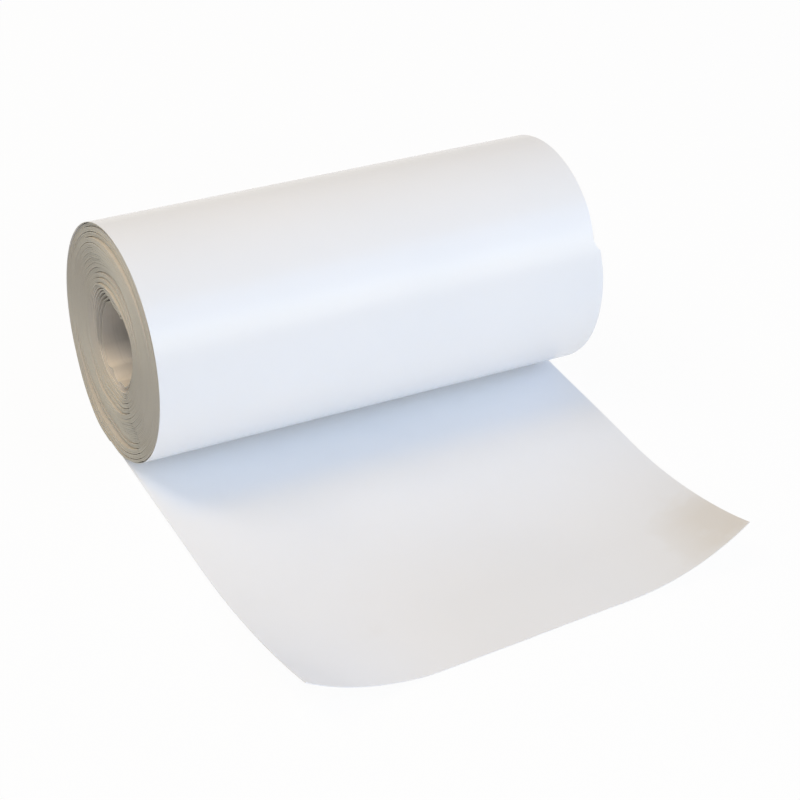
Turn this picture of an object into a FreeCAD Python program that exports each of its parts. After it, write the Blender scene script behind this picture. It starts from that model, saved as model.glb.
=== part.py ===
"""Roll of bin bags without a core, lying on its side with its free end pulled out on the floor.

X runs along the roll, Y away from the free end, Z up. The origin is on the floor, under the
middle of the roll, where the free end leaves it. All sizes are in millimetres.
"""
import FreeCAD, Part
import math
import os

NODE = "bag_roll"

# Angle in radians by which the wandering of the edges moves on at each half turn, at each end
LEFT_WANDER = 2.4
RIGHT_WANDER = 2.9

# Driving dimensions: alias, value, what it is
SIZES = [
    ("roll_width", 200.0, "length of the roll along X, and width of the folded film"),
    ("roll_radius", 49.6, "radius of the upper half, out to the film on the outside"),
    ("bore_radius", 19.4, "radius of the open bore, upper half"),
    ("film_stack", 0.6, "thickness of the folded film, free end and outermost turn"),
    ("turn_count", 14, "turns that can be told apart on the ends"),
    ("pitch_swing", 0.35, "share by which one turn is thicker or thinner than the next"),
    ("sag", 1.1, "how much the roll sinks under its own weight"),
    ("flat_half", 8.0, "half width of the flat spot under the roll"),
    ("corner_share", 0.75, "radius beside the flat spot, as a share of the room for it"),
    ("telescope", 1.7, "how far the edge of a turn may stand in or out at top and bottom"),
    ("flat_run", 85.0, "stretch of the free end that lies flat in front of the roll"),
    ("left_length", 181.0, "film from under the roll to the left corner"),
    ("right_length", 169.0, "film from under the roll to the right corner"),
    ("left_lift", 17.0, "height of the left corner, which curls up"),
    ("right_lift", 16.5, "height of the right corner, which curls up"),
    ("curl_share", 0.6, "share of each half of the width over which its corner curls"),
]


def make_sheet(document):
    """Put the driving dimensions into a spreadsheet, one alias for each."""
    sheet = document.addObject("Spreadsheet::Sheet", "sizes")
    for row, (alias, value, note) in enumerate(SIZES, start=1):
        sheet.set("A%d" % row, str(value))
        sheet.setAlias("A%d" % row, alias)
        sheet.set("B%d" % row, note)
    document.recompute()
    return sheet


def section_point(y, z):
    """A point of the roll's cross-section."""
    return FreeCAD.Vector(0, y, z)


def section_line(start, end):
    return Part.LineSegment(section_point(*start), section_point(*end)).toShape()


def section_arc(centre, radius, start, end):
    """An arc of the cross-section; its angles run from +Y towards +Z."""
    points = []
    for angle in (start, (start + end) / 2, end):
        points.append(section_point(centre[0] + radius * math.cos(angle), centre[1] + radius * math.sin(angle)))
    return Part.Arc(*points).toShape()


def turn_radii(sheet):
    """Where each turn crosses the level of the axis behind the roll, from outside in.

    The first turn is one film stack thick. The others share the rest and differ a little.
    """
    turns = int(sheet.turn_count)
    golden_angle = math.pi * (3 - math.sqrt(5))
    shares = [1 + sheet.pitch_swing * math.sin(golden_angle * turn) for turn in range(1, turns)]
    wound = sheet.roll_radius - sheet.film_stack - sheet.bore_radius
    radii = [sheet.roll_radius, sheet.roll_radius - sheet.film_stack]
    for share in shares:
        radii.append(radii[-1] - wound * share / sum(shares))
    return radii


def axis_height(sheet):
    return sheet.roll_radius + sheet.film_stack / 2 - sheet.sag


def lower_curve(sheet, front, back):
    """Sagged lower half of one turn, from the front seam to the back seam.

    front and back are the distances of its ends from the axis. Their difference moves its
    centre, and that is what winds the turns into a spiral. Each side is a flank arc and a
    tighter corner arc, and a flat joins them.
    """
    height = axis_height(sheet)
    side = (front + back) / 2
    middle = (back - front) / 2
    flat = sheet.flat_half * side / sheet.roll_radius
    reach = side - flat
    depth = side - sheet.sag
    corner = sheet.corner_share * reach
    drop = depth - corner
    flank = (reach ** 2 + drop ** 2 - corner ** 2) / (2 * (reach - corner))
    turned = math.atan2(drop, flank - reach)
    front_flank = (middle - side + flank, height)
    back_flank = (middle + side - flank, height)
    front_corner = (middle - flat, height - drop)
    back_corner = (middle + flat, height - drop)
    floor = height - depth
    return [
        section_arc(front_flank, flank, math.pi, math.pi + turned),
        section_arc(front_corner, corner, math.pi + turned, 1.5 * math.pi),
        section_line((middle - flat, floor), (middle + flat, floor)),
        section_arc(back_corner, corner, -0.5 * math.pi, -turned),
        section_arc(back_flank, flank, -turned, 0),
    ]


def last_lower_curve(sheet, front, back, start):
    """The part of a lower half that lies behind the point on its flat where the film arrives."""
    edges = lower_curve(sheet, front, back)
    flat_end = edges[2].Vertexes[1].Point
    return [section_line((start, flat_end.z), (flat_end.y, flat_end.z))] + edges[3:]


def end_offsets(sheet, half):
    """How far the left and right edges of one half turn stand out, farthest from the axis.

    The offsets wander without repeating, as the edges of a hand-squeezed roll do.
    """
    left = sheet.telescope * math.sin(LEFT_WANDER * (half + 1))
    right = sheet.telescope * math.sin(RIGHT_WANDER * (half + 1))
    return left, right


def trimmed_half(sheet, edges, upward, offsets):
    """Give half a turn its width. Its two end planes lean, and meet roll_width at the axis level."""
    outline = Part.Face(Part.Wire(Part.sortEdges(edges)[0]))
    spare = 2 * sheet.telescope
    length = sheet.roll_width + 2 * spare
    blank = outline.extrude(FreeCAD.Vector(length, 0, 0))
    blank.translate(FreeCAD.Vector(-length / 2, 0, 0))
    height = axis_height(sheet)
    reach = (1 if upward else -1) * 2 * sheet.roll_radius
    half_width = sheet.roll_width / 2
    left, right = offsets
    corners = [
        FreeCAD.Vector(-half_width, 0, height),
        FreeCAD.Vector(half_width, 0, height),
        FreeCAD.Vector(half_width + 2 * right, 0, height + reach),
        FreeCAD.Vector(-half_width - 2 * left, 0, height + reach),
    ]
    side_view = Part.Face(Part.makePolygon(corners + corners[:1]))
    side_view.translate(FreeCAD.Vector(0, -2 * sheet.roll_radius, 0))
    return blank.common(side_view.extrude(FreeCAD.Vector(0, 4 * sheet.roll_radius, 0)))


def wound_turns(sheet):
    """The turns from the bore outwards, each half a turn with edges of its own, as one solid.

    The edges of the outermost turn are even, and at the top right no turn stands out beyond it.
    """
    height = axis_height(sheet)
    radii = turn_radii(sheet)
    fronts = [radii[0] + sheet.film_stack] + radii[:-1]
    backs = radii
    halves = []
    for turn in range(len(radii) - 1):
        outer, inner = radii[turn], radii[turn + 1]
        edges = [
            section_arc((0, height), outer, 0, math.pi),
            section_arc((0, height), inner, 0, math.pi),
            section_line((inner, height), (outer, height)),
            section_line((-outer, height), (-inner, height)),
        ]
        left, right = end_offsets(sheet, 2 * turn)
        offsets = (left, -abs(right)) if turn > 0 else (0, 0)
        halves.append(trimmed_half(sheet, edges, True, offsets))
    for turn in range(1, len(radii) - 1):
        edges = lower_curve(sheet, fronts[turn], backs[turn])
        edges += lower_curve(sheet, fronts[turn + 1], backs[turn + 1])
        edges.append(section_line((-fronts[turn], height), (-fronts[turn + 1], height)))
        edges.append(section_line((backs[turn], height), (backs[turn + 1], height)))
        offsets = end_offsets(sheet, 2 * turn + 1) if turn > 1 else (0, 0)
        halves.append(trimmed_half(sheet, edges, False, offsets))
    arriving = last_lower_curve(sheet, fronts[0], backs[0], 0)
    arriving += last_lower_curve(sheet, fronts[1], backs[1], 0)
    arriving.append(section_line((0, 0), (0, sheet.film_stack)))
    arriving.append(section_line((backs[0], height), (backs[1], height)))
    halves.append(trimmed_half(sheet, arriving, False, (0, 0)))
    return halves[0].multiFuse(halves[1:]).removeSplitter()


def curled_end(sheet):
    """The free end beyond its flat run: a sheet with a straight cut whose two corners curl up.

    The film isn't stretched, so a corner that rises also draws back towards the roll.
    """
    half = sheet.roll_width / 2
    flat_share = 1 - sheet.curl_share
    columns = [-1, -(1 + flat_share) / 2, 0, (1 + flat_share) / 2, 1]
    lifts = [sheet.left_lift, 0, 0, 0, sheet.right_lift]
    rows = [[], [], []]
    for column, lift in zip(columns, lifts):
        share = (1 + column) / 2
        length = sheet.left_length + (sheet.right_length - sheet.left_length) * share
        free = length - sheet.flat_run
        drawn_back = 2 * lift ** 2 / (3 * free)
        front = sheet.flat_run + free - drawn_back
        rows[0].append(FreeCAD.Vector(column * half, -sheet.flat_run, 0))
        rows[1].append(FreeCAD.Vector(column * half, -(sheet.flat_run + front) / 2, 0))
        rows[2].append(FreeCAD.Vector(column * half, -front, lift))
    knots_across = [0, sheet.curl_share / 2, 1 - sheet.curl_share / 2, 1]
    surface = Part.BSplineSurface()
    surface.buildFromPolesMultsKnots(rows, [3, 3], [3, 1, 1, 3], [0, 1], knots_across, False, False, 2, 2)
    return surface.toShape().extrude(FreeCAD.Vector(0, 0, sheet.film_stack))


def add_shape(document, name, shape):
    part = document.addObject("Part::Feature", name)
    part.Label = name
    part.Shape = shape
    part.Placement = FreeCAD.Placement()
    return part


def build(document):
    sheet = make_sheet(document)
    turns = add_shape(document, "wound_turns", wound_turns(sheet))
    curl = add_shape(document, "curled_corners", curled_end(sheet))
    apron = document.addObject("Part::Box", "flat_apron")
    apron.setExpression("Length", "sizes.roll_width")
    apron.setExpression("Width", "sizes.flat_run")
    apron.setExpression("Height", "sizes.film_stack")
    apron.setExpression("Placement.Base.x", "-sizes.roll_width / 2")
    apron.setExpression("Placement.Base.y", "-sizes.flat_run")
    roll = document.addObject("Part::MultiFuse", NODE)
    roll.Label = NODE
    roll.Shapes = [turns, apron, curl]
    roll.Refine = True
    document.recompute()
    return roll


def check(document, piece):
    for item in document.Objects:
        if "Invalid" in item.State or "Error" in item.State:
            raise RuntimeError("%s did not build: %s" % (item.Label, item.State))
    shape = piece.Shape
    if shape.isNull() or not shape.isValid():
        raise RuntimeError("%s is not a valid shape" % piece.Label)
    if len(shape.Solids) != 1:
        raise RuntimeError("%s should be one solid, not %d" % (piece.Label, len(shape.Solids)))


def main():
    document = FreeCAD.newDocument("bin_bag_roll")
    roll = build(document)
    check(document, roll)
    os.makedirs("parts", exist_ok=True)
    roll.Shape.exportStep(os.path.join("parts", NODE + ".step"))
    box = roll.Shape.BoundBox
    print("%s: %.0f x %.0f x %.0f mm, %.0f cm3, %d faces" % (
        NODE, box.XLength, box.YLength, box.ZLength, roll.Shape.Volume / 1000, len(roll.Shape.Faces)))


main()
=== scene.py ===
"""Looks of the bin bag roll: the wound film with its edges, the free end, and a plain studio.

It is laid out as an add-on and run as a script. All sizes are in metres, in the frame of the
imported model: X along the roll, Y away from the free end, Z up, the floor at zero.
"""
import math

import bmesh
import bpy
from bpy.props import FloatProperty, FloatVectorProperty, IntProperty, PointerProperty
from mathutils import Matrix, Vector, noise


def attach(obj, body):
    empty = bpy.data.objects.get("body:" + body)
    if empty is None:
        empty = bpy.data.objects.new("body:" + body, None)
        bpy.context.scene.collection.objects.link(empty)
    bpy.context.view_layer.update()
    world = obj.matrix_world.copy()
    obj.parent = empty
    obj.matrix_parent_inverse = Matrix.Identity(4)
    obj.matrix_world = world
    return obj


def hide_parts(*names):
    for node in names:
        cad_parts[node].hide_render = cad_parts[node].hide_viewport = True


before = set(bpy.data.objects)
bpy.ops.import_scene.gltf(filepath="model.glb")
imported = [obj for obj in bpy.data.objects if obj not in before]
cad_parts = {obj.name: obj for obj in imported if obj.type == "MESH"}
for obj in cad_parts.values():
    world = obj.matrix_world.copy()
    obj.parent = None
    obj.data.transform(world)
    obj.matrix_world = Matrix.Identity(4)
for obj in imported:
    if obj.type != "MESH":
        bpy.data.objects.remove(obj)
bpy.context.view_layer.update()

bl_info = {
    "name": "Bin bag roll",
    "version": (1, 0, 0),
    "blender": (4, 5, 0),
    "location": "View3D > Sidebar > Bin bags",
    "description": "Dresses a coreless roll of plastic film with its turns, free end and finish",
    "category": "Object",
}

NODE = "bag_roll"
BODY = "root"
MILLI = 0.001
UV_NAME = "film"
FULL_TURN = 2 * math.pi
# Height over which a round turn runs softly into its flat underside
SOFT_LANDING = 0.0015


class BagRollSizes(bpy.types.PropertyGroup):
    """Sizes of the roll and of its free end."""

    width: FloatProperty(
        name="Width", description="Length of the roll along X", default=0.2, unit="LENGTH")
    radius: FloatProperty(
        name="Radius", description="Outer radius of the roll", default=0.0496, unit="LENGTH")
    bore: FloatProperty(
        name="Bore radius", description="Radius of the open bore", default=0.0194, unit="LENGTH")
    axis_height: FloatProperty(
        name="Axis height", description="Height of the axis over the floor",
        default=0.0488, unit="LENGTH")
    sag: FloatProperty(
        name="Sag", description="How much the lower half sinks", default=0.0011, unit="LENGTH")
    turns: IntProperty(
        name="Turns", description="Turns of film between bore and outside", default=44, min=4)
    bundle: IntProperty(
        name="Turns a bundle", description="Turns that cling together", default=3, min=1)
    film: FloatProperty(
        name="Film", description="Thickness of one turn", default=0.00056, unit="LENGTH")
    telescope: FloatProperty(
        name="Telescope", description="How far bundles step in or out at top and bottom",
        default=0.0013, unit="LENGTH")
    wander: FloatProperty(
        name="Wander", description="How far single edges leave those steps",
        default=0.0006, unit="LENGTH")
    loosest: FloatProperty(
        name="Loosest turn", description="Turn in the middle of the first loose stretch",
        default=7.0)
    loose_spacing: FloatProperty(
        name="Loose spacing", description="Turns from one loose stretch to the next",
        default=25.0, min=1)
    tucked_in: FloatProperty(
        name="Tucked in",
        description="How far the turns hide behind the outermost one at the top right",
        default=0.003, unit="LENGTH")
    bore_recess: FloatProperty(
        name="Bore recess", description="How far the innermost turn has slid in at the left",
        default=0.005, unit="LENGTH")
    bore_dents: FloatProperty(
        name="Bore dents", description="Depth of the dents in the innermost turn",
        default=0.002, unit="LENGTH")
    bore_hump: FloatProperty(
        name="Bore hump",
        description="How far the innermost turn has risen off the bottom of the bore",
        default=0.0065, unit="LENGTH")
    bore_droop: FloatProperty(
        name="Bore droop",
        description="How far the innermost turn hangs down at the top of the bore",
        default=0.007, unit="LENGTH")
    flat_run: FloatProperty(
        name="Flat run", description="Stretch of the free end that lies flat",
        default=0.085, unit="LENGTH")
    left_length: FloatProperty(
        name="Left length", description="Film from under the roll to the left corner",
        default=0.181, unit="LENGTH")
    right_length: FloatProperty(
        name="Right length", description="Film from under the roll to the right corner",
        default=0.169, unit="LENGTH")
    left_lift: FloatProperty(
        name="Left lift", description="Height of the left corner", default=0.017, unit="LENGTH")
    right_lift: FloatProperty(
        name="Right lift", description="Height of the right corner", default=0.0165, unit="LENGTH")
    curl_share: FloatProperty(
        name="Curl share", description="Share of each half of the width that curls",
        default=0.6, min=0, max=1)
    waves: FloatProperty(
        name="Waves", description="Height of the soft waves in the free end",
        default=0.0009, unit="LENGTH")
    free_film: FloatProperty(
        name="Free film", description="Thickness of the free end", default=0.0003, unit="LENGTH")
    seed: IntProperty(name="Seed", description="Fixes what is random", default=7)


class BagRollColours(bpy.types.PropertyGroup):
    """Colours of the film, as linear values."""

    film: FloatVectorProperty(
        name="Film", description="White film seen face on", subtype="COLOR", size=3, min=0, max=1,
        default=(0.93, 0.955, 0.985))
    film_thin: FloatVectorProperty(
        name="Thin film", description="Film where it is a little thinner",
        subtype="COLOR", size=3, min=0, max=1, default=(0.905, 0.935, 0.97))
    # Warm film: a faint stain, darker towards the cut, and painted shade at the curled right corner
    film_warm_stain_and_shade: FloatVectorProperty(
        name="Warm film", description="Warmer film of the free end: a faint stain, darker towards its cut, and painted shade at its right corner",
        subtype="COLOR", size=3, min=0, max=1, default=(0.80, 0.78, 0.74))
    # Inner film is lighter at the bottom of the bore as painted light; the dark inner film is painted
    # shade above it
    inner: FloatVectorProperty(
        name="Inner film", description="Film inside the bore, lighter at its bottom as painted light",
        subtype="COLOR", size=3, min=0, max=1, default=(0.97, 0.92, 0.84))
    inner_shade: FloatVectorProperty(
        name="Dark inner film",
        description="Film in the upper part of the bore, darker as painted shade",
        subtype="COLOR", size=3, min=0, max=1, default=(0.56, 0.54, 0.5))
    # The two fans of painted sheen lean the edges towards edge, and between them towards edge_dark
    edge: FloatVectorProperty(
        name="Edges", description="Cut edges of the turns", subtype="COLOR", size=3, min=0, max=1,
        default=(0.57, 0.56, 0.48))
    edge_dark: FloatVectorProperty(
        name="Dark edges", description="Cut edges between the two fans",
        subtype="COLOR", size=3, min=0, max=1, default=(0.36, 0.35, 0.305))


class BagRollStudio(bpy.types.PropertyGroup):
    """Camera and light."""

    azimuth: FloatProperty(
        name="Azimuth", description="Camera's turn about Z",
        default=math.radians(-30.89), subtype="ANGLE")
    elevation: FloatProperty(
        name="Elevation", description="Camera's angle over the floor",
        default=math.radians(35.07), subtype="ANGLE")
    tilt: FloatProperty(
        name="Tilt", description="Camera's turn about its own view",
        default=math.radians(4.72), subtype="ANGLE")
    distance: FloatProperty(
        name="Distance", description="Camera to the point it looks at",
        default=0.9489, unit="LENGTH")
    look_x: FloatProperty(
        name="Look X", description="X of the point it looks at", default=0.0359, unit="LENGTH")
    look_z: FloatProperty(
        name="Look Z", description="Z of the point it looks at", default=-0.0159, unit="LENGTH")
    lens: FloatProperty(name="Lens", description="Focal length in millimetres", default=96.34)
    light: FloatProperty(
        name="Light", description="Brightness of all the light together", default=1.0, min=0)
    sky: FloatProperty(
        name="Sky", description="Strength of the even light from all round", default=0.38, min=0)


def link(obj):
    bpy.context.scene.collection.objects.link(obj)
    return obj


def clear_default_scene():
    """Blender's own start-up cube, lamp and camera aren't wanted."""
    for name in ("Cube", "Light", "Camera"):
        obj = bpy.data.objects.get(name)
        if obj is not None:
            bpy.data.objects.remove(obj)


class Wiring:
    """Adds nodes to a tree and joins them, so that arithmetic reads as calls."""

    def __init__(self, tree):
        self.tree = tree

    def node(self, kind, **settings):
        made = self.tree.nodes.new(kind)
        for name, value in settings.items():
            setattr(made, name, value)
        return made

    def feed(self, socket, value):
        if isinstance(value, bpy.types.NodeSocket):
            self.tree.links.new(value, socket)
        else:
            socket.default_value = value

    def math(self, operation, *values):
        made = self.node("ShaderNodeMath", operation=operation)
        for socket, value in zip(made.inputs, values):
            self.feed(socket, value)
        return made.outputs[0]

    def add(self, a, b):
        return self.math("ADD", a, b)

    def subtract(self, a, b):
        return self.math("SUBTRACT", a, b)

    def multiply(self, a, b):
        return self.math("MULTIPLY", a, b)

    def mix(self, share, a, b):
        made = self.node("ShaderNodeMix", data_type="FLOAT", clamp_factor=True)
        for name, value in (("Factor", share), ("A", a), ("B", b)):
            self.feed(made.inputs[name], value)
        return made.outputs["Result"]

    def colour_mix(self, share, a, b):
        made = self.node("ShaderNodeMix", data_type="RGBA", clamp_factor=True)
        for identifier, value in (("Factor_Float", share), ("A_Color", a), ("B_Color", b)):
            socket = next(s for s in made.inputs if s.identifier == identifier)
            self.feed(socket, value)
        return next(s for s in made.outputs if s.identifier == "Result_Color")

    def combine(self, x, y, z):
        made = self.node("ShaderNodeCombineXYZ")
        for socket, value in zip(made.inputs, (x, y, z)):
            self.feed(socket, value)
        return made.outputs[0]

    def noise(self, vector, scale, detail=2.0, roughness=0.5):
        made = self.node("ShaderNodeTexNoise")
        self.feed(made.inputs["Vector"], vector)
        made.inputs["Scale"].default_value = scale
        made.inputs["Detail"].default_value = detail
        made.inputs["Roughness"].default_value = roughness
        return made.outputs[0]

    def between(self, value, low, high, to_low=0.0, to_high=1.0):
        made = self.node("ShaderNodeMapRange", clamp=True)
        for socket, number in zip(made.inputs, (value, low, high, to_low, to_high)):
            self.feed(socket, number)
        return made.outputs[0]


# The turns, as a geometry node tree

def random_share(wire, identity, seed):
    """A number from 0 to 1 that stays the same for the same identity."""
    made = wire.node("FunctionNodeRandomValue", data_type="FLOAT")
    wire.feed(made.inputs["ID"], identity)
    wire.feed(made.inputs["Seed"], seed)
    return next(s for s in made.outputs if s.enabled)


WOUND_INPUTS = [
    ("First turn", "NodeSocketFloat"),
    ("Turns", "NodeSocketFloat"),
    ("Steps a turn", "NodeSocketInt"),
    ("Points across", "NodeSocketInt"),
    ("Outer radius", "NodeSocketFloat"),
    ("Pitch", "NodeSocketFloat"),
    ("Film", "NodeSocketFloat"),
    ("Turns a bundle", "NodeSocketFloat"),
    ("Width", "NodeSocketFloat"),
    ("Telescope", "NodeSocketFloat"),
    ("Wander", "NodeSocketFloat"),
    ("Loosest turn", "NodeSocketFloat"),
    ("Loose spacing", "NodeSocketFloat"),
    ("Tucked in", "NodeSocketFloat"),
    ("Bore recess", "NodeSocketFloat"),
    ("Bore dents", "NodeSocketFloat"),
    ("Bore hump", "NodeSocketFloat"),
    ("Bore droop", "NodeSocketFloat"),
    ("Sag", "NodeSocketFloat"),
    ("Axis height", "NodeSocketFloat"),
    ("Seed", "NodeSocketInt"),
    ("Surface", "NodeSocketMaterial"),
]


# How the film is wound, in turns counted inwards from the outermost one
STARTS_AT = 0.75          # the wound film starts under the roll
ENDS_EARLY = 0.6          # and ends this far before its last whole turn
STEPS_A_TURN = 96         # faces round one turn
POINTS_ACROSS = 5         # from one end of a turn to the other
TIGHT_PITCH = 1.03        # spacing of turns that cling together, in thicknesses of film
DENTED_TURNS = 3.5        # the innermost turns that are dented
HANGING_TURNS = 5.0       # those that hang down at the top of the bore
SLID_TURNS = 9.0          # those that have slid in
RISES = (0.95, 0.75)      # where the last turn leaves the bottom of the bore, in turns from its end
CREASES = 1.6             # scale of the dents and creases round the bore
SLID_MOST = math.radians(60)    # the turns have slid in most behind the top of the bore


def loose_wave(wire, given, turn):
    """The angle of the slow wave that loosens and tightens the winding from turn to turn."""
    phase = wire.math("DIVIDE", wire.subtract(turn, given["Loosest turn"]), given["Loose spacing"])
    return wire.multiply(phase, FULL_TURN)


def last_turns(wire, turn, last, count):
    """Rises from 0 to 1 over the last so many turns."""
    return wire.between(turn, wire.subtract(last, count), last)


def upward_power(wire, value, power):
    """A power of a value that counts as 0 where it is negative."""
    return wire.math("POWER", wire.math("MAXIMUM", value, 0.0), power)


def crumple_bore(wire, given, radius, turn, last, sine, place):
    """The radius with the innermost turns dented, risen off the bottom and hanging at the top."""
    dented = last_turns(wire, turn, last, DENTED_TURNS)
    dent = wire.multiply(wire.between(wire.noise(place, CREASES), 0.35, 0.75), given["Bore dents"])
    radius = wire.subtract(radius, wire.multiply(dent, wire.multiply(dented, dented)))
    uneven = wire.between(wire.noise(place, CREASES, detail=0.0), 0.3, 0.7, 0.5, 1.2)
    risen = wire.between(turn, wire.subtract(last, RISES[0]), wire.subtract(last, RISES[1]))
    under = upward_power(wire, wire.multiply(sine, -1.0), 3.0)
    hump = wire.multiply(wire.multiply(risen, under), uneven)
    radius = wire.subtract(radius, wire.multiply(hump, given["Bore hump"]))
    over = upward_power(wire, sine, 2.0)
    hanging = last_turns(wire, turn, last, HANGING_TURNS)
    droop = wire.multiply(wire.multiply(hanging, over), uneven)
    return wire.subtract(radius, wire.multiply(droop, given["Bore droop"]))


def wound_film_tree():
    """The film wound into a spiral, as a strip whose edges step in and out from turn to turn.

    Turns cling together in bundles at the top and bottom of the roll, which opens a gap after
    each bundle there. At the level of the axis the turns are evenly spaced, so both meet. From
    the outside inwards, flights of steps between the bundles come and go, the opposite way at
    the top and at the bottom. The innermost turns are crumpled and have slid in.
    """
    tree = bpy.data.node_groups.new("wound_film", "GeometryNodeTree")
    for name, kind in WOUND_INPUTS:
        tree.interface.new_socket(name, in_out="INPUT", socket_type=kind)
    tree.interface.new_socket("Geometry", in_out="OUTPUT", socket_type="NodeSocketGeometry")
    wire = Wiring(tree)
    given = wire.node("NodeGroupInput").outputs

    grid = wire.node("GeometryNodeMeshGrid")
    steps = wire.multiply(given["Turns"], given["Steps a turn"])
    wire.feed(grid.inputs["Vertices X"], wire.add(steps, 1.0))
    wire.feed(grid.inputs["Vertices Y"], given["Points across"])
    place = wire.node("ShaderNodeSeparateXYZ")
    wire.feed(place.inputs[0], wire.node("GeometryNodeInputPosition").outputs[0])
    along = wire.add(place.outputs["X"], 0.5)
    across = wire.add(place.outputs["Y"], 0.5)

    turn = wire.add(given["First turn"], wire.multiply(along, given["Turns"]))
    last = wire.add(given["First turn"], given["Turns"])
    angle = wire.multiply(turn, FULL_TURN)
    sine = wire.math("SINE", angle)
    cosine = wire.math("COSINE", angle)
    bundle = wire.math("FLOOR", wire.math("DIVIDE", turn, given["Turns a bundle"]))
    bundle_start = wire.multiply(bundle, given["Turns a bundle"])

    loose = wire.between(wire.math("COSINE", loose_wave(wire, given, turn)), -0.6, 0.6, 0.1, 1.0)
    even = wire.subtract(given["Outer radius"], wire.multiply(given["Pitch"], turn))
    tight_pitch = wire.multiply(given["Film"], TIGHT_PITCH)
    start_radius = wire.subtract(given["Outer radius"], wire.multiply(given["Pitch"], bundle_start))
    tight = wire.subtract(start_radius, wire.multiply(tight_pitch, wire.subtract(turn, bundle_start)))
    clinging = wire.multiply(wire.multiply(sine, sine), loose)
    place_round = wire.combine(cosine, sine, wire.multiply(across, 2.5))
    wound = wire.mix(clinging, even, tight)
    radius = crumple_bore(wire, given, wound, turn, last, sine, place_round)

    sideways = wire.multiply(radius, cosine)
    upright = wire.multiply(radius, sine)
    lowest = wire.math("MULTIPLY", wire.subtract(radius, given["Sag"]), -1.0)
    settled = wire.math("SMOOTH_MAX", upright, lowest, SOFT_LANDING)
    height = wire.add(settled, given["Axis height"])

    lower = wire.math("LESS_THAN", sine, 0.0)
    half = wire.add(wire.multiply(bundle, 2.0), lower)
    step = wire.multiply(wire.math("SINE", loose_wave(wire, given, bundle_start)), given["Telescope"])
    stepped = wire.multiply(wire.math("POWER", sine, 3.0), step)
    wandering = wire.multiply(clinging, given["Wander"])
    whole_turn = wire.math("FLOOR", turn)
    reaches = []
    for side in (1.0, 2.0):
        seed = wire.add(given["Seed"], side)
        # Up to 1 either way for the half turns of a bundle, and a quarter of that for each turn
        coarse = wire.math("MULTIPLY_ADD", random_share(wire, half, seed), 2.0, -1.0)
        fine = wire.math("MULTIPLY_ADD", random_share(wire, whole_turn, seed), 0.5, -0.25)
        offset = wire.add(stepped, wire.multiply(wandering, wire.add(coarse, fine)))
        reaches.append(wire.add(wire.multiply(given["Width"], 0.5), offset))
    top_back = wire.math("COSINE", wire.subtract(angle, SLID_MOST))
    slid = last_turns(wire, turn, last, SLID_TURNS)
    recess = wire.multiply(wire.multiply(slid, slid), wire.between(top_back, -0.9, 0.9))
    left = wire.subtract(wire.multiply(recess, given["Bore recess"]), reaches[0])
    right = wire.subtract(reaches[1], wire.multiply(given["Tucked in"], wire.between(sine, 0.1, 0.45)))
    lengthwise = wire.mix(across, left, right)

    moved = wire.node("GeometryNodeSetPosition")
    wire.feed(moved.inputs["Geometry"], grid.outputs["Mesh"])
    wire.feed(moved.inputs["Position"], wire.combine(lengthwise, sideways, height))

    stored = wire.node("GeometryNodeStoreNamedAttribute", data_type="FLOAT2", domain="CORNER")
    wire.feed(stored.inputs["Geometry"], moved.outputs[0])
    stored.inputs["Name"].default_value = UV_NAME
    run = wire.multiply(angle, given["Outer radius"])
    value = next(s for s in stored.inputs if s.name == "Value" and s.enabled)
    wire.feed(value, wire.combine(lengthwise, run, 0.0))

    real = wire.node("GeometryNodeRealizeInstances")
    wire.feed(real.inputs[0], stored.outputs[0])
    finished = wire.node("GeometryNodeSetMaterial")
    wire.feed(finished.inputs["Geometry"], real.outputs[0])
    wire.feed(finished.inputs["Material"], given["Surface"])
    wire.feed(wire.node("NodeGroupOutput").inputs[0], finished.outputs[0])
    return tree


def film_pitch(sizes):
    """How much nearer to the axis each turn lies than the one before it."""
    return (sizes.radius - sizes.bore) / sizes.turns


def run_tree(obj, tree, values):
    """Evaluate a geometry tree on an object and keep the result as its plain mesh."""
    modifier = obj.modifiers.new(tree.name, "NODES")
    modifier.node_group = tree
    for item in tree.interface.items_tree:
        if item.item_type == "SOCKET" and item.in_out == "INPUT" and item.name in values:
            modifier[item.identifier] = values[item.name]
    keep_result(obj)


def keep_result(obj):
    """Turn an object and its modifiers into a plain mesh."""
    graph = bpy.context.evaluated_depsgraph_get()
    mesh = bpy.data.meshes.new_from_object(
        obj.evaluated_get(graph), preserve_all_data_layers=True, depsgraph=graph)
    obj.modifiers.clear()
    obj.data = mesh


def give_thickness(obj, thickness):
    """Thicken a strip of film to both sides. Its cut edges take the second material."""
    modifier = obj.modifiers.new("Thickness", "SOLIDIFY")
    modifier.thickness = thickness
    modifier.offset = 0.0
    modifier.use_even_offset = False
    modifier.material_offset_rim = 1
    keep_result(obj)


def smooth_but_edges(obj):
    """Outward faces, smooth along the film and sharp at its cut edges."""
    shape = bmesh.new()
    shape.from_mesh(obj.data)
    bmesh.ops.remove_doubles(shape, verts=shape.verts, dist=MILLI / 1000)
    bmesh.ops.recalc_face_normals(shape, faces=shape.faces)
    for face in shape.faces:
        face.smooth = True
    shape.to_mesh(obj.data)
    shape.free()
    obj.data.set_sharp_from_angle(angle=math.radians(40))


def hand_over(obj):
    """Declare a finished piece to the frame."""
    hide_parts(NODE)
    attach(obj, BODY)


# Materials

# The faint spot near the cut, and the radii between which it fades
SPOT_PLACE = (-0.055, -0.155, 0.0)
SPOT_RADII = (0.005, 0.032)


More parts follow.
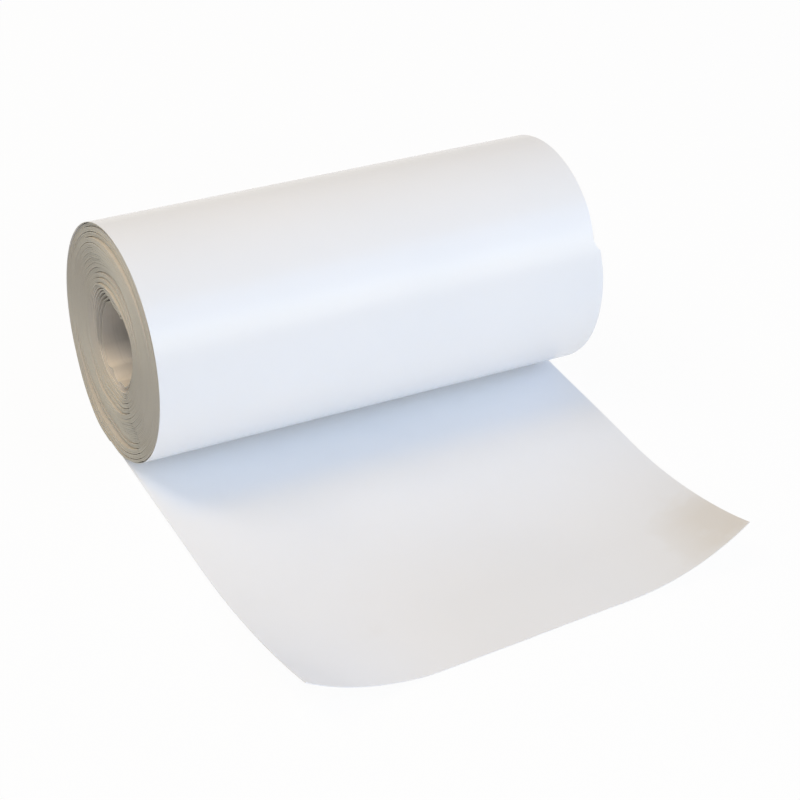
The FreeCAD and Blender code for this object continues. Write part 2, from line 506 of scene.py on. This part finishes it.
def film_texture_group():
    """Soft clouds and dents in the film, shared by all the film's materials.

    Its vector is the place across the film and the way along it from under the roll, negative
    on the free end. Warmth is where the free end is warmer and darker: a little towards its cut,
    more at one faint stain, and most of all at its curled right corner, where it is painted shade.
    """
    group = bpy.data.node_groups.new("film_texture", "ShaderNodeTree")
    group.interface.new_socket("Vector", in_out="INPUT", socket_type="NodeSocketVector")
    for name in ("Clouds", "Warmth", "Dents"):
        group.interface.new_socket(name, in_out="OUTPUT", socket_type="NodeSocketFloat")
    wire = Wiring(group)
    vector = wire.node("NodeGroupInput").outputs["Vector"]
    axes = wire.node("ShaderNodeSeparateXYZ")
    wire.feed(axes.inputs[0], vector)
    patches = wire.noise(vector, 24.0, detail=4.0)

    # Painted shade: the curled-up right corner near the cut is darker and warmer, as if turned away
    # from the light
    near_cut = wire.between(axes.outputs["Y"], -0.155, -0.12, 1.0, 0.0)
    near_right = wire.between(axes.outputs["X"], 0.055, 0.09)
    corner = wire.multiply(wire.multiply(near_cut, near_right), wire.between(patches, 0.3, 0.5))

    spot = wire.node("ShaderNodeVectorMath", operation="DISTANCE")
    wire.feed(spot.inputs[0], vector)
    spot.inputs[1].default_value = SPOT_PLACE
    near_spot = wire.between(spot.outputs["Value"], *SPOT_RADII, 0.3, 0.0)
    faint = wire.multiply(near_spot, wire.between(patches, 0.4, 0.6))

    # Darker and warmer towards the cut, across all but the left edge of the free end
    towards_cut = wire.between(axes.outputs["Y"], -0.15, -0.08, 1.0, 0.0)
    darker_towards_cut = wire.multiply(towards_cut, wire.between(axes.outputs["X"], -0.1, -0.02, 0.0, 0.35))

    warmth = wire.math("MAXIMUM", darker_towards_cut, wire.math("MAXIMUM", corner, faint))
    out = wire.node("NodeGroupOutput")
    wire.feed(out.inputs["Clouds"], wire.noise(vector, 14.0, detail=3.0))
    wire.feed(out.inputs["Warmth"], warmth)
    wire.feed(out.inputs["Dents"], wire.noise(vector, 45.0, detail=3.0, roughness=0.45))
    return group


def start_material(name):
    material = bpy.data.materials.new(name)
    material.use_nodes = True
    wire = Wiring(material.node_tree)
    shader = material.node_tree.nodes["Principled BSDF"]
    return material, wire, shader


def rgba(colour):
    return (*colour, 1.0)


def about_axis(wire, axis_height):
    """Places of a section of the roll: along Y, over the axis, and the distance from it."""
    axes = wire.node("ShaderNodeSeparateXYZ")
    wire.feed(axes.inputs[0], wire.node("ShaderNodeTexCoord").outputs["Object"])
    sideways, up = axes.outputs["Y"], wire.subtract(axes.outputs["Z"], axis_height)
    radius = wire.math("SQRT", wire.add(wire.multiply(sideways, sideways), wire.multiply(up, up)))
    return sideways, up, radius


DENT_DEPTH = 0.0006
FILM_IOR = 1.5


def film_material(name, group, light, dark, warm, roughness, bump, lit_bottom=None):
    """White film: nearly one colour, with soft dents in its shine.

    roughness is its range. lit_bottom is the height of the axis and the radius of a bore whose
    bottom takes the light colour as painted light and whose upper part takes the dark one as
    painted shade; the turns outside the bore take a mix of the two.
    """
    _, wire, shader = start_material(name)
    texture = wire.node("ShaderNodeGroup", node_tree=group)
    wire.feed(texture.inputs["Vector"], wire.node("ShaderNodeUVMap", uv_map=UV_NAME).outputs[0])
    share = wire.between(texture.outputs["Clouds"], 0.35, 0.7)
    if lit_bottom is not None:
        axis_height, bore = lit_bottom
        _, up, radius = about_axis(wire, axis_height)
        # Painted light and shade: light at the bottom of the bore, dark above it, and between the two
        # outside the bore
        high = wire.between(up, -0.75 * bore, -0.5 * bore)
        outer = wire.between(radius, 1.08 * bore, 1.12 * bore)
        share = wire.mix(outer, wire.mix(high, wire.multiply(share, 0.1), 1.0), 0.55)
    clean = wire.colour_mix(share, rgba(light), rgba(dark))
    # The warm colour shows a faint stain, darkening towards the cut, and painted shade at the right
    # corner
    colour = wire.colour_mix(texture.outputs["Warmth"], clean, rgba(warm))
    wire.feed(shader.inputs["Base Color"], colour)
    shine = wire.between(texture.outputs["Clouds"], 0.3, 0.7, *roughness)
    wire.feed(shader.inputs["Roughness"], shine)
    bumped = wire.node("ShaderNodeBump")
    bumped.inputs["Strength"].default_value = bump
    bumped.inputs["Distance"].default_value = DENT_DEPTH
    wire.feed(bumped.inputs["Height"], texture.outputs["Dents"])
    wire.feed(shader.inputs["Normal"], bumped.outputs[0])
    shader.inputs["IOR"].default_value = FILM_IOR


# The edges differ this many times faster from turn to turn than round a turn
RING_STRETCH = 30.0
# Where the two fans of painted sheen on the edges lie, and how much they differ from what is between
SHEEN_FAN_ANGLE = math.radians(107)
SHEEN_FAN_STRENGTH = 0.38


def edge_material(colours, axis_height):
    """Cut edges of the turns: warmer and darker than the film, and unlike from turn to turn.

    Wound edges shine like a brushed disc, in two opposite fans. This sheen is painted into the colour.
    """
    _, wire, shader = start_material("film_edges")
    sideways, up, radius = about_axis(wire, axis_height)
    rings = wire.noise(wire.combine(wire.multiply(radius, RING_STRETCH), sideways, up), 40.0)
    blotches = wire.noise(wire.combine(0.0, sideways, up), 30.0, detail=3.0)
    # Painted sheen: two opposite fans lean to the light edge colour, the rest to the dark one
    turned = wire.subtract(wire.math("ARCTAN2", up, sideways), SHEEN_FAN_ANGLE)
    fans = wire.multiply(wire.math("COSINE", wire.multiply(turned, 2.0)), -SHEEN_FAN_STRENGTH)
    unlike = wire.add(wire.multiply(rings, 0.7), wire.multiply(blotches, 0.5))
    share = wire.add(wire.between(unlike, 0.4, 0.8, 0.35, 0.65), fans)
    colour = wire.colour_mix(share, rgba(colours.edge), rgba(colours.edge_dark))
    wire.feed(shader.inputs["Base Color"], colour)
    wire.feed(shader.inputs["Roughness"], wire.between(blotches, 0.3, 0.7, 0.5, 0.65))


def materials():
    """The film's materials, made once and found again by name."""
    names = ("film_outside", "film_inside", "film_edges")
    if names[0] not in bpy.data.materials:
        colours = bpy.context.scene.bag_roll_colours
        sizes = bpy.context.scene.bag_roll_sizes
        group = film_texture_group()
        outside = (colours.film, colours.film_thin, colours.film_warm_stain_and_shade)
        film_material(names[0], group, *outside, roughness=(0.21, 0.26), bump=0.25)
        # Inside: painted light at the bottom of the bore and painted shade above it
        inside = (colours.inner, colours.inner_shade, colours.inner)
        bore = (sizes.axis_height, sizes.bore)
        film_material(names[1], group, *inside, roughness=(0.35, 0.5), bump=0.3, lit_bottom=bore)
        edge_material(colours, sizes.axis_height)
    return [bpy.data.materials[name] for name in names]


class BAGROLL_OT_wound_turns(bpy.types.Operator):
    """Wind the film from under the roll inwards to the bore"""

    bl_idname = "bag_roll.wound_turns"
    bl_label = "Wound turns"

    def execute(self, context):
        sizes = context.scene.bag_roll_sizes
        _, inside, edges = materials()
        tree = wound_film_tree()
        obj = link(bpy.data.objects.new("wound_turns", bpy.data.meshes.new("wound_turns")))
        run_tree(obj, tree, {
            "First turn": STARTS_AT,
            "Turns": sizes.turns - ENDS_EARLY - STARTS_AT,
            "Steps a turn": STEPS_A_TURN,
            "Points across": POINTS_ACROSS,
            "Outer radius": sizes.radius - sizes.film / 2,
            "Pitch": film_pitch(sizes),
            "Film": sizes.film,
            "Turns a bundle": float(sizes.bundle),
            "Width": sizes.width,
            "Telescope": sizes.telescope,
            "Wander": sizes.wander,
            "Loosest turn": sizes.loosest,
            "Loose spacing": sizes.loose_spacing,
            "Tucked in": sizes.tucked_in,
            "Bore recess": sizes.bore_recess,
            "Bore dents": sizes.bore_dents,
            "Bore hump": sizes.bore_hump,
            "Bore droop": sizes.bore_droop,
            "Sag": sizes.sag,
            "Axis height": sizes.axis_height,
            "Seed": sizes.seed,
            "Surface": inside,
        })
        obj.data.materials.clear()
        obj.data.materials.append(inside)
        obj.data.materials.append(edges)
        give_thickness(obj, sizes.film)
        smooth_but_edges(obj)
        hand_over(obj)
        return {"FINISHED"}


# How far the right edge of the outermost turn stands out, in millimetres by the angle in
# degrees round the roll: it jogs by 2.4 mm where one bag ends and the next begins
RIGHT_EDGE = [
    (0, 0), (60, 0.3), (110, 0.4), (130, 0.1), (148.5, -1.3), (152.5, 1.1), (165, 1.4), (210, 1.2),
    (260, 0),
]

# Long waves and ripples of the free end, a metre across and along it
WAVES_A_METRE = (16, 11)
RIPPLES_A_METRE = (38, 26)
# The free end waves from here on, and fully after this much more of it
STILL_RUN, WAVING_RUN = 0.02, 0.05


def interpolated(table, at):
    """The value of a table of pairs at a place between two of them."""
    if at <= table[0][0]:
        return table[0][1]
    for (start, low), (end, high) in zip(table, table[1:]):
        if at <= end:
            return low + (high - low) * (at - start) / (end - start)
    return table[-1][1]


def wrap_point(sizes, pitch, turn, across):
    """A point of the outermost turn. turn counts from the level of the axis behind the roll."""
    angle = FULL_TURN * turn
    radius = sizes.radius - sizes.free_film / 2 - pitch * turn
    lowest = -(radius - sizes.sag)
    upright = radius * math.sin(angle)
    blend = max(0.0, SOFT_LANDING - abs(upright - lowest)) / SOFT_LANDING
    settled = max(upright, lowest) + blend ** 2 * SOFT_LANDING / 4
    left, right = -sizes.width / 2, sizes.width / 2
    stands_out = interpolated(RIGHT_EDGE, math.degrees(angle)) * MILLI
    lengthwise = left + (right - left) * across + stands_out * across ** 4
    return Vector((lengthwise, radius * math.cos(angle), sizes.axis_height + settled))


def noise_at(x, y, scales, seed):
    return noise.noise(Vector((x * scales[0], y * scales[1], seed)))


def free_point(sizes, along, across):
    """A point of the free end. along is 0 under the roll and 1 at the cut."""
    length = sizes.left_length + (sizes.right_length - sizes.left_length) * across
    lift = sizes.left_lift if across < 0.5 else sizes.right_lift
    off_middle = abs(2 * across - 1)
    flat_share = 1 - sizes.curl_share
    curl = max(0.0, (off_middle - flat_share) / sizes.curl_share) ** 2
    free = length - sizes.flat_run
    drawn_back = 2 * (lift * curl) ** 2 / (3 * free)
    distance = length * along
    beyond = max(0.0, (distance - sizes.flat_run) / free)
    y = -(distance - drawn_back * beyond)
    z = lift * curl * beyond ** 2
    x = sizes.width * (across - 0.5)
    waving = min(1.0, max(0.0, (distance - STILL_RUN) / WAVING_RUN))
    wave = 0.5 + 0.5 * noise_at(x, y, WAVES_A_METRE, sizes.seed)
    wave += 0.25 * noise_at(x, y, RIPPLES_A_METRE, sizes.seed + 5)
    z += max(0.0, wave) * sizes.waves * waving + sizes.free_film / 2
    return Vector((x, y, z))


def whiten_free_edges(obj):
    """A single layer's edge is as white as the film, so only wound edges keep the edge material."""
    runs = obj.data.uv_layers[UV_NAME].data
    for face in obj.data.polygons:
        if all(runs[corner].uv.y <= 0 for corner in face.loop_indices):
            face.material_index = 0


class BAGROLL_OT_free_end(bpy.types.Operator):
    """Lay out the free end and wrap the same film once round the roll"""

    bl_idname = "bag_roll.free_end"
    bl_label = "Free end"

    def execute(self, context):
        sizes = context.scene.bag_roll_sizes
        outside, _, edges = materials()
        pitch = film_pitch(sizes)
        wrap = FULL_TURN * sizes.radius
        across_count, free_count, wrap_count = 101, 90, 150
        shares = [i / (across_count - 1) for i in range(across_count)]
        rows = []
        runs = []
        for step in range(free_count, 0, -1):
            along = step / free_count
            rows.append([free_point(sizes, along, share) for share in shares])
            runs.append(-along * sizes.left_length)
        for step in range(wrap_count + 1):
            turn = -0.25 + step / wrap_count
            rows.append([wrap_point(sizes, pitch, turn, share) for share in shares])
            runs.append(wrap * step / wrap_count)
        mesh = bpy.data.meshes.new("free_end")
        points = [point for row in rows for point in row]
        faces = []
        for row in range(len(rows) - 1):
            for i in range(across_count - 1):
                start = row * across_count + i
                faces.append((start, start + 1, start + across_count + 1, start + across_count))
        mesh.from_pydata(points, [], faces)
        layer = mesh.uv_layers.new(name=UV_NAME)
        for loop in mesh.loops:
            row, i = divmod(loop.vertex_index, across_count)
            layer.data[loop.index].uv = (points[loop.vertex_index].x, runs[row])
        obj = link(bpy.data.objects.new("free_end", mesh))
        mesh.materials.append(outside)
        mesh.materials.append(edges)
        give_thickness(obj, sizes.free_film)
        whiten_free_edges(obj)
        smooth_but_edges(obj)
        hand_over(obj)
        return {"FINISHED"}


def camera_axes(studio):
    """Right, up and back of the camera, from its angles."""
    side, rise = studio.azimuth, studio.elevation
    level = math.cos(rise)
    back = Vector((math.sin(side) * level, -math.cos(side) * level, math.sin(rise)))
    right = (-back).cross(Vector((0, 0, 1))).normalized()
    up = right.cross(-back)
    cosine, sine = math.cos(studio.tilt), math.sin(studio.tilt)
    return right * cosine + up * sine, up * cosine - right * sine, back


def aim(obj, place, right, up, back):
    turned = Matrix((right, up, back)).transposed()
    obj.matrix_world = Matrix.Translation(place) @ turned.to_4x4()


def soft_light(name, power, colour, size, place, target):
    data = bpy.data.lights.new(name, "AREA")
    data.energy = power
    data.color = colour
    data.shape = "RECTANGLE"
    data.size, data.size_y = size
    lamp = link(bpy.data.objects.new(name, data))
    back = (Vector(place) - Vector(target)).normalized()
    right = Vector((0, 0, 1)).cross(back).normalized()
    aim(lamp, Vector(place), right, back.cross(right), back)


# Name, watts, colour, size and place of each lamp: cool light from in front and from the right,
# warm light from above, from the left and from behind
LAMPS = [
    ("window", 4.6, (0.91, 0.94, 0.82), (1.3, 0.62), (0.75, -1.35, 0.8)),
    ("sky", 5.6, (0.28, 0.58, 1.0), (1.3, 0.8), (0.75, -1.05, 1.25)),
    ("front", 5.2, (0.88, 0.86, 0.95), (0.9, 0.7), (-0.35, -1.5, 0.7)),
    ("right", 2.0, (0.75, 0.6, 1.0), (1.0, 0.8), (1.5, -0.2, 0.6)),
    ("ceiling", 3.7, (1.0, 0.62, 0.1), (0.5, 0.5), (-0.4, 0.15, 1.6)),
    ("left", 3.8, (1.0, 0.91, 0.85), (0.5, 0.5), (-0.9, 0.45, 1.35)),
    ("back", 2.5, (1.0, 0.85, 0.65), (1.0, 1.0), (-0.8, 1.0, 1.1)),
]


def seen_directly(wire):
    """1 for rays that show a surface as it is seen, in the picture or in a reflection."""
    path = wire.node("ShaderNodeLightPath").outputs
    glossy = wire.math("MAXIMUM", path["Is Glossy Ray"], path["Is Transmission Ray"])
    return wire.math("MAXIMUM", path["Is Camera Ray"], glossy)


class BAGROLL_OT_studio(bpy.types.Operator):
    """Set the camera, a pale floor and soft light"""

    bl_idname = "bag_roll.studio"
    bl_label = "Studio"

    def execute(self, context):
        studio = context.scene.bag_roll_studio
        right, up, back = camera_axes(studio)
        data = bpy.data.cameras.new("camera")
        data.lens = studio.lens
        data.sensor_width = 36.0
        camera = link(bpy.data.objects.new("camera", data))
        target = Vector((studio.look_x, 0, studio.look_z))
        aim(camera, target + back * studio.distance, right, up, back)
        context.scene.camera = camera

        floor = link(bpy.data.objects.new("floor", bpy.data.meshes.new("floor")))
        half, under = 4.0, -0.0002
        sides = ((-half, -half), (half, -half), (half, half), (-half, half))
        floor.data.from_pydata([(x, y, under) for x, y in sides], [], [(0, 1, 2, 3)])
        material, wire, shader = start_material("pale_floor")
        shader.inputs["Base Color"].default_value = (0.9, 0.9, 0.9, 1.0)
        shader.inputs["Roughness"].default_value = 0.9
        shader.inputs["Specular IOR Level"].default_value = 0.1
        glow = wire.node("ShaderNodeEmission")
        mixed = wire.node("ShaderNodeMixShader")
        wire.feed(mixed.inputs[0], wire.multiply(seen_directly(wire), 0.95))
        wire.feed(mixed.inputs[1], shader.outputs[0])
        wire.feed(mixed.inputs[2], glow.outputs[0])
        wire.feed(material.node_tree.nodes["Material Output"].inputs["Surface"], mixed.outputs[0])
        floor.data.materials.append(material)

        for name, power, colour, size, place in LAMPS:
            soft_light(name, power * studio.light, colour, size, place, (0, 0, 0.04))

        world = bpy.data.worlds.new("studio")
        world.use_nodes = True
        context.scene.world = world
        wire = Wiring(world.node_tree)
        lit = world.node_tree.nodes["Background"]
        lit.inputs["Color"].default_value = (1.0, 0.98, 0.97, 1.0)
        lit.inputs["Strength"].default_value = studio.sky * studio.light
        white = wire.node("ShaderNodeBackground")
        mixed = wire.node("ShaderNodeMixShader")
        wire.feed(mixed.inputs[0], seen_directly(wire))
        wire.feed(mixed.inputs[1], lit.outputs[0])
        wire.feed(mixed.inputs[2], white.outputs[0])
        wire.feed(world.node_tree.nodes["World Output"].inputs["Surface"], mixed.outputs[0])
        context.scene.view_settings.view_transform = "Standard"
        return {"FINISHED"}


class BAGROLL_PT_sidebar(bpy.types.Panel):
    """Sizes, colours and makers of the bin bag roll"""

    bl_label = "Bin bag roll"
    bl_idname = "BAGROLL_PT_sidebar"
    bl_space_type = "VIEW_3D"
    bl_region_type = "UI"
    bl_category = "Bin bags"

    def draw(self, context):
        layout = self.layout
        scene = context.scene
        for group in (scene.bag_roll_sizes, scene.bag_roll_colours, scene.bag_roll_studio):
            box = layout.box()
            for name in group.bl_rna.properties.keys():
                if name not in ("rna_type", "name"):
                    box.prop(group, name)
        for maker in MAKERS:
            layout.operator(maker.bl_idname)


MAKERS = (BAGROLL_OT_studio, BAGROLL_OT_wound_turns, BAGROLL_OT_free_end)
GROUPS = (BagRollSizes, BagRollColours, BagRollStudio)


def register():
    for item in GROUPS + MAKERS + (BAGROLL_PT_sidebar,):
        bpy.utils.register_class(item)
    bpy.types.Scene.bag_roll_sizes = PointerProperty(type=BagRollSizes)
    bpy.types.Scene.bag_roll_colours = PointerProperty(type=BagRollColours)
    bpy.types.Scene.bag_roll_studio = PointerProperty(type=BagRollStudio)


def unregister():
    del bpy.types.Scene.bag_roll_studio
    del bpy.types.Scene.bag_roll_colours
    del bpy.types.Scene.bag_roll_sizes
    for item in reversed(GROUPS + MAKERS + (BAGROLL_PT_sidebar,)):
        bpy.utils.unregister_class(item)


def main():
    register()
    clear_default_scene()
    bpy.ops.bag_roll.studio()
    bpy.ops.bag_roll.wound_turns()
    bpy.ops.bag_roll.free_end()


if __name__ == "__main__":
    main()
